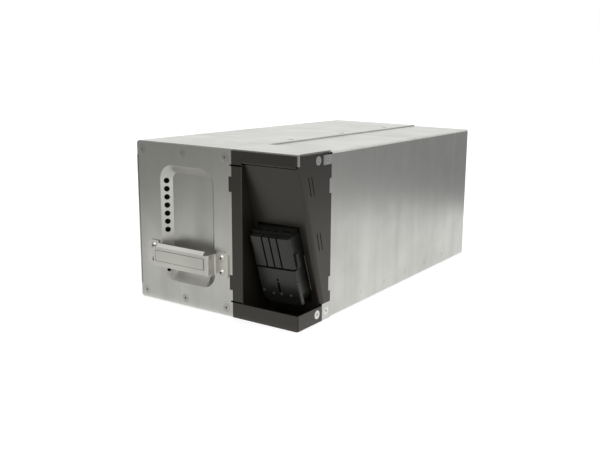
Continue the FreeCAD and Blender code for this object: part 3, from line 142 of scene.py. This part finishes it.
def bump(tree, shader, height, distance, strength=1.0):
    """Bumps the shader's surface by a height."""
    node = tree.nodes.new("ShaderNodeBump")
    node.inputs["Strength"].default_value = strength
    node.inputs["Distance"].default_value = distance
    tree.links.new(height, node.inputs["Height"])
    tree.links.new(node.outputs["Normal"], shader.inputs["Normal"])


def mean(tree, first, second):
    """The average of two values."""
    node = tree.nodes.new("ShaderNodeMath")
    node.operation = "MULTIPLY_ADD"
    node.inputs[1].default_value = 0.5
    tree.links.new(first, node.inputs[0])
    half = tree.nodes.new("ShaderNodeMath")
    half.operation = "MULTIPLY"
    half.inputs[1].default_value = 0.5
    tree.links.new(second, half.inputs[0])
    tree.links.new(half.outputs[0], node.inputs[2])
    return node.outputs[0]


# ---------------------------------------------------------------- finishes
def galvanised_sheet(name, grain, dark=(0.49, 0.49, 0.462), light=(0.62, 0.62, 0.588),
                     rough=(0.27, 0.36)):
    """Zinc-coated sheet: fine streaks along the rolling direction under soft clouds.

    grain scales the three axes: the smallest one is the direction that the streaks follow.
    """
    material, tree, shader = new_material(name)
    streaks = noise(tree, object_point(tree, grain), 60, detail=4)
    clouds = noise(tree, object_point(tree), 28, detail=2)
    tone = mean(tree, streaks, clouds)
    tree.links.new(blend_colours(tree, tone, dark, light), shader.inputs["Base Color"])
    tree.links.new(spread(tree, tone, rough[1], rough[0]), shader.inputs["Roughness"])
    shader.inputs["Metallic"].default_value = 1.0
    bump(tree, shader, streaks, 0.00004, 0.5)
    return material


def powder_coat(name, colour=(0.010, 0.0085, 0.0065)):
    """Semi-matt black powder coat with its fine orange peel."""
    material, tree, shader = new_material(name)
    shader.inputs["Specular IOR Level"].default_value = 0.66
    shader.inputs["Specular Tint"].default_value = (1, 0.95, 0.87, 1)
    peel = noise(tree, object_point(tree), 900, detail=2)
    wear = noise(tree, object_point(tree), 35, detail=3)
    faded = tuple(part * 1.25 for part in colour)
    tree.links.new(blend_colours(tree, wear, colour, faded), shader.inputs["Base Color"])
    tree.links.new(spread(tree, wear, 0.36, 0.42), shader.inputs["Roughness"])
    bump(tree, shader, peel, 0.00005, 0.35)
    return material


def moulded(name, colour, rough, grain=700):
    """Moulded plastic with a light tool texture."""
    material, tree, shader = new_material(name)
    texture = noise(tree, object_point(tree), grain, detail=2)
    flow = noise(tree, object_point(tree), 60, detail=2)
    paler = tuple(part * 1.3 for part in colour)
    tree.links.new(blend_colours(tree, flow, colour, paler), shader.inputs["Base Color"])
    tree.links.new(spread(tree, flow, rough, rough + 0.08), shader.inputs["Roughness"])
    bump(tree, shader, texture, 0.00003, 0.3)
    return material


def plug_moulding_painted_shade(name, colour, rough):
    """Glossy on the towers and the body's face; on the collar above and the chin below the
    reflection falls away as painted shade.
    """
    material = moulded(name, colour, rough)
    tree = material.node_tree
    shader = next(node for node in tree.nodes if node.type == "BSDF_PRINCIPLED")
    along = tree.nodes.new("ShaderNodeVectorMath")
    along.operation = "DOT_PRODUCT"
    up_slope = PLUG_FRAME.to_3x3().col[2]
    along.inputs[1].default_value = tuple(up_slope)
    tree.links.new(object_point(tree), along.inputs[0])
    middle = up_slope.dot(PLUG_FRAME.translation)
    painted_shade_ramps = []
    # Painted shade: the specular level falls from 0.5 to 0.02 on the collar and the chin, so they
    # render dark as if in shade.
    for painted_shade_end, full_sheen_end in ((COLLAR_START, TOWERS_END), (CHIN_END, CHIN_START)):
        painted_shade_ramps.append(spread(tree, along.outputs["Value"], 0.02, 0.5,
                             middle + painted_shade_end * MM, middle + full_sheen_end * MM))
    painted_shade_level = tree.nodes.new("ShaderNodeMath")
    painted_shade_level.operation = "MINIMUM"
    tree.links.new(painted_shade_ramps[0], painted_shade_level.inputs[0])
    tree.links.new(painted_shade_ramps[1], painted_shade_level.inputs[1])
    tree.links.new(painted_shade_level.outputs[0], shader.inputs["Specular IOR Level"])
    return material


def shadow_gap(name):
    """Painted shadow: matt black without any reflection, for hollows too deep to be lit."""
    material = moulded(name, (0.003, 0.003, 0.003), 0.8)
    shader = next(node for node in material.node_tree.nodes if node.type == "BSDF_PRINCIPLED")
    shader.inputs["Specular IOR Level"].default_value = 0.0
    return material


def plated(name, dark, light, rough):
    """Small plated parts."""
    material, tree, shader = new_material(name)
    tone = noise(tree, object_point(tree), 150, detail=3)
    tree.links.new(blend_colours(tree, tone, dark, light), shader.inputs["Base Color"])
    tree.links.new(spread(tree, tone, rough + 0.08, rough), shader.inputs["Roughness"])
    shader.inputs["Metallic"].default_value = 1.0
    return material


WRAP_GRAIN = (0.06, 1.0, 0.06)
PLATE_GRAIN = (1.0, 0.06, 0.06)

FINISHES = {
    "case_wrap_left": galvanised_sheet("galvanised_left", WRAP_GRAIN),
    "case_wrap_right": galvanised_sheet("galvanised_right", WRAP_GRAIN),
    "front_plate": galvanised_sheet("galvanised_front", PLATE_GRAIN, (0.47, 0.47, 0.440),
                                    (0.60, 0.60, 0.565), (0.30, 0.40)),
    "front_screws": plated("dull_zinc", (0.42, 0.42, 0.40), (0.52, 0.52, 0.495), 0.33),
    "handle_rivets": plated("rivet_steel", (0.46, 0.455, 0.43), (0.58, 0.57, 0.54), 0.30),
    # Painted shade: the seam screws are darkened to stand in for the shade of their recessed seats.
    "seam_screws": plated("seam_screw_painted_shade", (0.16, 0.16, 0.15), (0.24, 0.24, 0.225), 0.40),
    "rear_panel": galvanised_sheet("galvanised_rear", PLATE_GRAIN),
    "handle": galvanised_sheet("plated_handle", (0.1, 1.0, 1.0), (0.53, 0.52, 0.48),
                               (0.64, 0.63, 0.585), (0.26, 0.34)),
}
ZINC = plated("zinc_plate", (0.60, 0.60, 0.58), (0.74, 0.74, 0.71), 0.22)
BLACK = powder_coat("black_powder_coat")
PLUG = plug_moulding_painted_shade("plug_moulding_painted_shade", (0.012, 0.012, 0.011), 0.26)
TINNED = plated("tinned_contacts", (0.62, 0.61, 0.56), (0.76, 0.75, 0.70), 0.20)
BLOCK = moulded("block_case", (0.055, 0.055, 0.060), 0.45, grain=300)
FOAM = moulded("foam", (0.020, 0.020, 0.020), 0.85, grain=500)
LINER = moulded("liner_sheet", (0.60, 0.58, 0.50), 0.45, grain=200)

SLOT_FINISHES = {
    "zinc_fasteners": ZINC,
    "black_steel": BLACK,
    "plug_plastic": PLUG,
    "contact_metal": TINNED,
    "battery_case": BLOCK,
    "foam": FOAM,
    "liner_sheet": LINER,
}


def dress(node, material):
    """Gives a solid its finish."""
    node.data.materials.clear()
    node.data.materials.append(material)


for part in frame["record"]["subparts"]:
    name = part["node"]
    dress(frame["nodes"][name], FINISHES.get(name) or SLOT_FINISHES[part["material_slot"]])


# ---------------------------------------------------------------- added parts
def shape_piece(piece, name, material, frame_of=None, soften=0.0):
    """Names, softens, places and dresses a part that has just been added at the origin."""
    piece.name = name
    if soften:
        bevel = piece.modifiers.new("soft_edges", "BEVEL")
        bevel.width = soften * MM
        bevel.segments = 2
        bevel.limit_method = "ANGLE"
        bpy.ops.object.modifier_apply(modifier="soft_edges")
    if frame_of is not None:
        piece.data.transform(frame_of)
    piece.data.materials.append(material)
    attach(piece, "root")
    return piece


def add_box(name, low, high, material, frame_of=None, soften=0.0):
    """A box between two corners, in millimetres of the given frame or of the case's corner."""
    bpy.ops.object.select_all(action="DESELECT")
    bpy.ops.mesh.primitive_cube_add(size=1)
    piece = bpy.context.object
    bpy.ops.object.mode_set(mode="EDIT")
    bpy.ops.mesh.select_all(action="SELECT")
    size = [(b - a) * MM for a, b in zip(low, high)]
    bpy.ops.transform.resize(value=size)
    middle = [(a + b) / 2 for a, b in zip(low, high)]
    if frame_of is None:
        bpy.ops.transform.translate(value=corner_point(*middle))
    else:
        bpy.ops.transform.translate(value=[part * MM for part in middle])
    bpy.ops.object.mode_set(mode="OBJECT")
    return shape_piece(piece, name, material, frame_of, soften)


def add_boss(name, across, height, radius, proud, material):
    """A round boss on the plug's front face, domed outwards."""
    bpy.ops.object.select_all(action="DESELECT")
    bpy.ops.mesh.primitive_uv_sphere_add(segments=24, ring_count=12, radius=radius * MM)
    piece = bpy.context.object
    bpy.ops.object.mode_set(mode="EDIT")
    bpy.ops.mesh.select_all(action="SELECT")
    bpy.ops.transform.resize(value=(1, proud / radius, 1))
    bpy.ops.transform.translate(value=(across * MM, PLUG_FACE * MM, height * MM))
    bpy.ops.object.mode_set(mode="OBJECT")
    bpy.ops.object.shade_smooth()
    return shape_piece(piece, name, material, PLUG_FRAME)


def hollow_front(piece):
    """Sinks a hollow into a short cylinder's front face, and leaves a thin rim round it."""
    bpy.ops.mesh.select_all(action="DESELECT")
    bpy.ops.object.mode_set(mode="OBJECT")
    front = min(piece.data.polygons, key=lambda face: face.center.y)
    front.select = True
    bpy.ops.object.mode_set(mode="EDIT")
    bpy.ops.mesh.select_mode(type="FACE")
    bpy.ops.mesh.inset(thickness=BORE_RIM * MM)
    bpy.ops.transform.translate(value=(0, BORE_HOLLOW * MM, 0))
    bpy.ops.mesh.select_all(action="SELECT")


def add_rivet_bore(name, across, height):
    """The bore in the middle of a pulled rivet's head: a shallow hollow coloured with painted
    shadow.
    """
    bpy.ops.object.select_all(action="DESELECT")
    bpy.ops.mesh.primitive_cylinder_add(vertices=24, radius=BORE_RADIUS * MM,
                                        depth=BORE_LENGTH * MM)
    piece = bpy.context.object
    bpy.ops.object.mode_set(mode="EDIT")
    bpy.ops.mesh.select_all(action="SELECT")
    bpy.ops.transform.rotate(value=math.radians(90), orient_axis="X", center_override=(0, 0, 0))
    hollow_front(piece)
    bpy.ops.transform.translate(value=corner_point(across, BORE_DEPTH, height))
    bpy.ops.object.mode_set(mode="OBJECT")
    return shape_piece(piece, name, SHADOW)


# Painted shadow: black without reflection for the key slot, the key hole and the rivet bores.
SHADOW = shadow_gap("painted_shadow_black")
# Painted highlight: plastic paler than the plug, for the lit plate edge and strap.
PAINTED_HIGHLIGHT_EDGE = moulded("painted_highlight_plastic", (0.030, 0.028, 0.025), 0.30)
BOSS = moulded("boss_plastic", (0.018, 0.017, 0.015), 0.46)
# Painted shade: dark metal for the strips that stand in for the groove round the grip's panel.
GROOVE_SHADE = plated("groove_painted_shade", (0.16, 0.16, 0.15), (0.22, 0.22, 0.20), 0.4)

# Painted shadow filling the plug's key slot and key hole, and the bosses under them.
add_box("key_slot_painted_shadow", (-1.2, PLUG_FACE - 0.04, -25.2), (1.2, PLUG_FACE + 2, -15.5),
        SHADOW, PLUG_FRAME, 0.3)
add_boss("key_hole_painted_shadow", 0, -13, 1.25, 0.06, SHADOW)
BOSS_PLACES = [(-18.5, -26), (-8, -28), (1, -27.5), (11.5, -28)]
for index, (across, height) in enumerate(BOSS_PLACES, start=1):
    add_boss("plug_boss_%d" % index, across, height, 1.7, 0.9, BOSS)

# The edge of the plug's plate on the wall, and the strap down its right side, both in paler plastic
# as painted highlight.
add_box("plug_plate_edge", (24.4, -2, -27), (25.2, -0.8, 8),
        PAINTED_HIGHLIGHT_EDGE, PLUG_FRAME, 0.2)
add_box("plug_strap", (20.4, PLUG_FACE - 0.3, -36), (22.5, -11, -13),
        PAINTED_HIGHLIGHT_EDGE, PLUG_FRAME, 0.8)

# Dark strips round the grip's panel: painted shade of a thin groove.
OUTER_LEFT, OUTER_RIGHT = PANEL_LEFT - GROOVE_WIDTH, PANEL_RIGHT + GROOVE_WIDTH
GROOVES = {
    "top": ((OUTER_LEFT, PANEL_TOP), (OUTER_RIGHT, PANEL_TOP + GROOVE_TOP_WIDTH)),
    "bottom": ((OUTER_LEFT, PANEL_BOTTOM - GROOVE_WIDTH), (OUTER_RIGHT, PANEL_BOTTOM)),
    "left": ((OUTER_LEFT, PANEL_BOTTOM), (PANEL_LEFT, PANEL_TOP)),
    "right": ((PANEL_RIGHT, PANEL_BOTTOM), (OUTER_RIGHT, PANEL_TOP)),
}
for side, (low, high) in GROOVES.items():
    add_box("grip_groove_shade_" + side, (low[0], GROOVE_FRONT, low[1]), (high[0], GROOVE_BACK, high[1]),
            GROOVE_SHADE, soften=0.04)

# Painted shadow: the rivet bores are black without reflection.
for index, (across, height) in enumerate(RIVETS, start=1):
    add_rivet_bore("rivet_bore_%d" % index, across, height)


# ---------------------------------------------------------------- studio
# Ground plans of the grey cards, in metres, and the height of their walls. The first two
# corners of a room are the edge of the paper.
SIDE_ROOM = [(0.12, 0.555), (0.95, -0.21), (1.8, -0.21), (1.8, 2.4), (0.12, 2.4)]
SIDE_WALLS = 0.4
FRONT_PAPER = [(-0.8, -0.182), (0.5, -0.182), (0.5, -1.3), (-0.8, -1.3)]
FRONT_ROOM = [(-0.52, -0.05), (-0.08, -1.15), (-0.08, -2.2), (-2.2, -2.2), (-2.2, -0.05)]
FRONT_WALLS = 1.1

# The world's light on the object, and the floor's glow for the camera and for reflections.
WORLD_LIGHT = 0.55
FLOOR_SEEN, FLOOR_MIRRORED = 0.45, 1.04

# The camera: place in metres, then yaw, pitch and roll in degrees.
CAMERA_PLACE = (0.4654, -0.6984, 0.2329)
CAMERA_YAW, CAMERA_PITCH, CAMERA_ROLL = 31.85, 11.68, 1.03


def light_path_white(tree, plain):
    """Full white for what the camera and reflections see, and the plain strength for the rest."""
    path = tree.nodes.new("ShaderNodeLightPath")
    seen = path.outputs["Is Camera Ray"]
    for kind in ("Is Glossy Ray", "Is Transmission Ray"):
        larger = tree.nodes.new("ShaderNodeMath")
        larger.operation = "MAXIMUM"
        tree.links.new(seen, larger.inputs[0])
        tree.links.new(path.outputs[kind], larger.inputs[1])
        seen = larger.outputs[0]
    strength = tree.nodes.new("ShaderNodeMapRange")
    strength.inputs["To Min"].default_value = plain
    strength.inputs["To Max"].default_value = 1.0
    tree.links.new(seen, strength.inputs["Value"])
    return strength.outputs["Result"]


def white_surroundings():
    """A white room all round."""
    world = bpy.data.worlds.new("white_room")
    bpy.context.scene.world = world
    world.use_nodes = True
    tree = world.node_tree
    background = tree.nodes["Background"]
    background.inputs["Color"].default_value = (1, 1, 1, 1)
    tree.links.new(light_path_white(tree, WORLD_LIGHT), background.inputs["Strength"])


def studio_floor():
    """A white floor that keeps the object's soft shadow."""
    bpy.ops.mesh.primitive_plane_add(size=12, location=(0, 0, -0.0002))
    floor = bpy.context.object
    floor.name = "studio_floor"
    material, tree, shader = new_material("floor_paper")
    shader.inputs["Roughness"].default_value = 0.9
    shader.inputs["Specular IOR Level"].default_value = 0.0
    shader.inputs["Emission Color"].default_value = (1, 1, 1, 1)
    path = tree.nodes.new("ShaderNodeLightPath")
    paper = blend_colours(tree, path.outputs["Is Glossy Ray"], (0.8, 0.8, 0.8), (0, 0, 0), 0.0, 1.0)
    tree.links.new(paper, shader.inputs["Base Color"])
    seen = spread(tree, path.outputs["Is Camera Ray"], 0.0, FLOOR_SEEN, 0.0, 1.0)
    mirrored = spread(tree, path.outputs["Is Glossy Ray"], 0.0, FLOOR_MIRRORED, 0.0, 1.0)
    glow = tree.nodes.new("ShaderNodeMath")
    glow.operation = "ADD"
    tree.links.new(seen, glow.inputs[0])
    tree.links.new(mirrored, glow.inputs[1])
    tree.links.new(glow.outputs[0], shader.inputs["Emission Strength"])
    floor.data.materials.append(material)


def grey_card(name, corners, tone):
    """A grey card that only reflections see: the darker room beyond the paper."""
    mesh = bpy.data.meshes.new(name)
    mesh.from_pydata([Vector(corner) for corner in corners], [], [tuple(range(len(corners)))])
    card = bpy.data.objects.new(name, mesh)
    bpy.context.collection.objects.link(card)
    material, tree, shader = new_material(name + "_paint")
    shader.inputs["Base Color"].default_value = (0, 0, 0, 1)
    shader.inputs["Specular IOR Level"].default_value = 0.0
    shader.inputs["Emission Color"].default_value = tone + (1,)
    shader.inputs["Emission Strength"].default_value = 1.0
    mesh.materials.append(material)
    card.visible_camera = False
    card.visible_shadow = False
    card.visible_diffuse = False


def dark_room(name, ground, tone, height):
    """Grey floor beyond the paper, and grey walls along its outer sides.

    ground lists the floor's corners: the first two are the paper's edge.
    """
    grey_card(name + "_floor", [(x, y, 0.001) for x, y in ground], tone)
    for index in range(1, len(ground)):
        here, there = ground[index], ground[(index + 1) % len(ground)]
        wall = [here + (0.0,), there + (0.0,), there + (height,), here + (height,)]
        grey_card("%s_wall_%d" % (name, index), wall, tone)


def soft_sun(name, direction, strength, spread_angle):
    """Even light from one side of the room."""
    lamp = bpy.data.lights.new(name, "SUN")
    lamp.energy = strength
    lamp.angle = math.radians(spread_angle)
    holder = bpy.data.objects.new(name, lamp)
    bpy.context.collection.objects.link(holder)
    holder.matrix_world = Vector(direction).to_track_quat("-Z", "Y").to_matrix().to_4x4()


def camera():
    """Looks down on the handle end from the connector's side."""
    view = bpy.data.cameras.new("camera")
    view.sensor_width = 36
    view.lens = 46.26
    view.shift_x = -0.075
    view.shift_y = -0.0083
    view.clip_start = 0.01
    holder = bpy.data.objects.new("camera", view)
    bpy.context.collection.objects.link(holder)
    yaw, pitch, roll = (math.radians(angle) for angle in (CAMERA_YAW, CAMERA_PITCH, CAMERA_ROLL))
    turn = (Matrix.Rotation(yaw, 4, "Z") @ Matrix.Rotation(math.radians(90) - pitch, 4, "X")
            @ Matrix.Rotation(roll, 4, "Z"))
    holder.matrix_world = Matrix.Translation(CAMERA_PLACE) @ turn
    bpy.context.scene.camera = holder


white_surroundings()
studio_floor()
dark_room("side_room", SIDE_ROOM, (0.32, 0.325, 0.33), SIDE_WALLS)
grey_card("front_paper", [(x, y, 0.0005) for x, y in FRONT_PAPER], (0.78, 0.78, 0.765))
dark_room("front_room", FRONT_ROOM, (0.26, 0.26, 0.255), FRONT_WALLS)
soft_sun("overhead_sun", (-0.2, 0.25, -1), 1.2, 60)
camera()

bpy.context.scene.view_settings.view_transform = "Standard"
